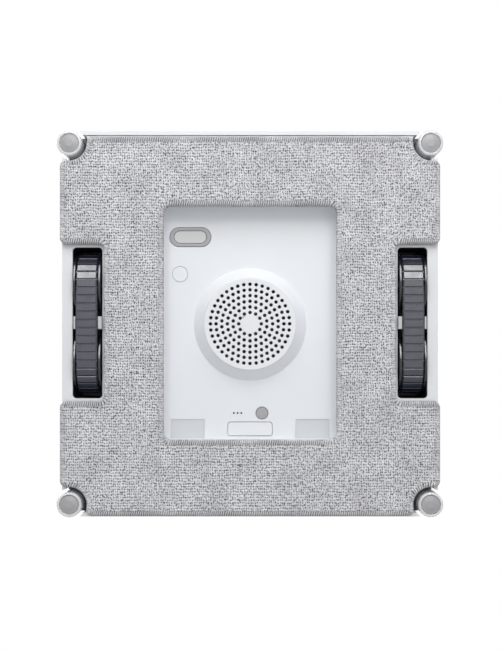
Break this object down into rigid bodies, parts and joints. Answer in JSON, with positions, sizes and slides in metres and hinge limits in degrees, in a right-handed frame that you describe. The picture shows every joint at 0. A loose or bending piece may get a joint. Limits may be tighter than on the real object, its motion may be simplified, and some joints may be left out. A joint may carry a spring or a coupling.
{
  "type": "window cleaning robot",
  "caption": "Square window cleaning robot with a microfibre pad frame, two rubber tracks, a suction fan behind a round grille, corner guide rollers and a carry handle.",
  "frame": {"origin": "middle of the square casing, on the glass that the pad and tracks stand on", "axes": "+Z away from the glass towards the carry handle, +X across the tracks to the right, +Y along the tracks towards the exhaust vent"},
  "size_m": [0.245, 0.245, 0.094],
  "materials": {
    "pad_microfibre": "matte",
    "plate_grey": "satin",
    "casing_white": "gloss",
    "panel_white": "satin",
    "black_rubber": "matte",
    "housing_grey": "matte",
    "fan_dark": "satin",
    "steel": "brushed",
    "motor_metal": "satin",
    "key_grey": "satin",
    "button_grey": "gloss",
    "black_plastic": "matte",
    "lens_smoke": "gloss",
    "belt_rubber": "matte",
    "frame_grey": "satin",
    "wheel_black": "gloss",
    "bush_brass": "satin",
    "roller_white": "satin",
    "cell_blue": "wrapped",
    "board_green": "satin",
    "grip_grey": "matte",
    "ring_clear": "gloss"
  },
  "bodies": {
    "casing": {"cleaning_pad": "pad_microfibre", "roller_brackets": "black_plastic", "track_housing_left": "black_plastic", "track_housing_right": "black_plastic", "housing_screws": "steel", "pad_plate": "plate_grey", "base_tray": "casing_white", "centre_panel": "panel_white", "fan_grille": "panel_white", "fan_seal": "black_rubber", "fan_housing": "housing_grey", "fan_motor": "motor_metal", "motor_screws": "steel", "power_bezel": "key_grey", "power_switch": "black_plastic", "mode_switch": "black_plastic", "indicator_lenses": "lens_smoke", "round_plug": "panel_white", "service_cover": "panel_white", "track_belt_left": "belt_rubber", "track_belt_right": "belt_rubber", "track_frame_left": "frame_grey", "track_frame_right": "frame_grey", "idler_axles": "steel", "shaft_bushes": "bush_brass", "gearbox_left": "motor_metal", "gearbox_right": "motor_metal", "drive_motor_left": "motor_metal", "drive_motor_right": "motor_metal", "motor_clips": "housing_grey", "roller_pins": "key_grey", "battery_cells": "cell_blue", "battery_holder": "black_plastic", "main_board": "board_green", "board_screws": "steel", "top_cover": "casing_white", "handle": "casing_white", "handle_grip": "grip_grey", "handle_screws": "steel", "light_ring": "ring_clear", "power_inlet": "black_plastic", "rope_anchor": "steel", "exhaust_grille": "housing_grey", "casing_screws": "steel", "panel_screws": "steel"},
    "power_button_body": {"power_button": "button_grey"},
    "mode_button_body": {"mode_button": "key_grey"},
    "start_button_body": {"start_button": "button_grey"},
    "impeller_body": {"impeller": "fan_dark", "fan_shaft": "steel"},
    "drive_left": {"drive_wheel_left": "wheel_black", "drive_shaft_left": "steel"},
    "drive_right": {"drive_wheel_right": "wheel_black", "drive_shaft_right": "steel"},
    "idler_left": {"idler_wheel_left": "wheel_black"},
    "idler_right": {"idler_wheel_right": "wheel_black"},
    "roller_front_left": {"guide_roller_front_left": "roller_white"},
    "roller_front_right": {"guide_roller_front_right": "roller_white"},
    "roller_rear_left": {"guide_roller_rear_left": "roller_white"},
    "roller_rear_right": {"guide_roller_rear_right": "roller_white"}
  },
  "joints": [
    {"name": "power_press", "type": "slide", "parent": "casing", "child": "power_button_body", "axis": [0, 0, 1], "range_m": [0, 0.0012], "stiffness_N_per_m": 900},
    {"name": "mode_press", "type": "slide", "parent": "casing", "child": "mode_button_body", "axis": [0, 0, 1], "range_m": [0, 0.0008], "stiffness_N_per_m": 900},
    {"name": "start_press", "type": "slide", "parent": "casing", "child": "start_button_body", "axis": [0, 0, -1], "range_m": [0, 0.0015], "stiffness_N_per_m": 900},
    {"name": "impeller_spin", "type": "hinge", "parent": "casing", "child": "impeller_body", "pos_m": [0, 0, 0.03], "axis": [0, 0, 1], "continuous": true},
    {"name": "drive_left_spin", "type": "hinge", "parent": "casing", "child": "drive_left", "pos_m": [-0.1031, 0.0244, 0.02], "axis": [1, 0, 0], "continuous": true},
    {"name": "idler_left_spin", "type": "hinge", "parent": "casing", "child": "idler_left", "pos_m": [-0.1031, -0.0256, 0.02], "axis": [1, 0, 0], "continuous": true},
    {"name": "drive_right_spin", "type": "hinge", "parent": "casing", "child": "drive_right", "pos_m": [0.1031, 0.0244, 0.02], "axis": [1, 0, 0], "continuous": true},
    {"name": "idler_right_spin", "type": "hinge", "parent": "casing", "child": "idler_right", "pos_m": [0.1031, -0.0256, 0.02], "axis": [1, 0, 0], "continuous": true},
    {"name": "roller_front_left_spin", "type": "hinge", "parent": "casing", "child": "roller_front_left", "pos_m": [-0.1145, -0.1145, 0.015], "axis": [0, 0, 1], "continuous": true},
    {"name": "roller_front_right_spin", "type": "hinge", "parent": "casing", "child": "roller_front_right", "pos_m": [0.1145, -0.1145, 0.015], "axis": [0, 0, 1], "continuous": true},
    {"name": "roller_rear_left_spin", "type": "hinge", "parent": "casing", "child": "roller_rear_left", "pos_m": [-0.1145, 0.1145, 0.015], "axis": [0, 0, 1], "continuous": true},
    {"name": "roller_rear_right_spin", "type": "hinge", "parent": "casing", "child": "roller_rear_right", "pos_m": [0.1145, 0.1145, 0.015], "axis": [0, 0, 1], "continuous": true}
  ],
  "couplings": [
    {"joint": "idler_left_spin", "follows": "drive_left_spin", "ratio": 1},
    {"joint": "idler_right_spin", "follows": "drive_right_spin", "ratio": 1}
  ]
}
